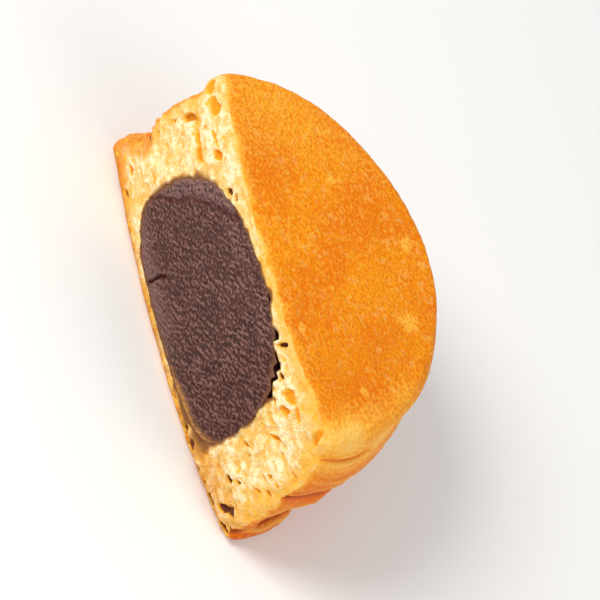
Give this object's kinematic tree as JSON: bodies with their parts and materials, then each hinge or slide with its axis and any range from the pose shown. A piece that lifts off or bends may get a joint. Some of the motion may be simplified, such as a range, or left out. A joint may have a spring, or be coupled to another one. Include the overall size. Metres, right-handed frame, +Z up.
{
  "type": "imagawayaki half",
  "caption": "Half of a round griddle cake filled with smooth red bean paste, lying on its browned underside with the cut face showing the crumb and the filling.",
  "frame": {"origin": "bottom centre of the part's box, on the surface it lies on", "axes": "+X along the cut, towards its squarer end; -Y out of the cut face; +Z up, out of the top crust"},
  "size_m": [0.0804, 0.042, 0.0362],
  "materials": {
    "golden_batter": "dry baked crust, golden brown, over pale yellow crumb",
    "bean_paste": "moist, finely grained, purple-brown"
  },
  "bodies": {
    "root": {"cake": "golden_batter", "paste": "bean_paste"}
  },
  "joints": []
}
